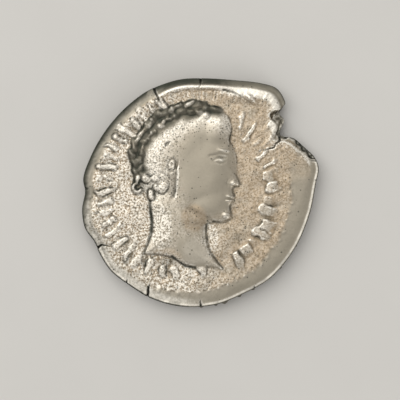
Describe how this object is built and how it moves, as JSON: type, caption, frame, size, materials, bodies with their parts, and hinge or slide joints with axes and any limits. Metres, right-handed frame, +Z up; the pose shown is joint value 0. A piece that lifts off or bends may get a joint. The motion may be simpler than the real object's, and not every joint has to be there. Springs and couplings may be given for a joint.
{
  "type": "denarius coin",
  "caption": "Small worn silver coin: an uneven cracked and chipped disc with a portrait head in relief on one face and a robed figure on the other.",
  "frame": {"origin": "middle of the underside of the coin's bounding box, on the surface that it lies on", "axes": "+Z up out of the portrait face, +Y towards the top of the portrait, +X the way the portrait faces"},
  "size_m": [0.018, 0.0173, 0.0019],
  "materials": {
    "silver": "satin"
  },
  "bodies": {
    "root": {"denarius": "silver"}
  },
  "joints": []
}
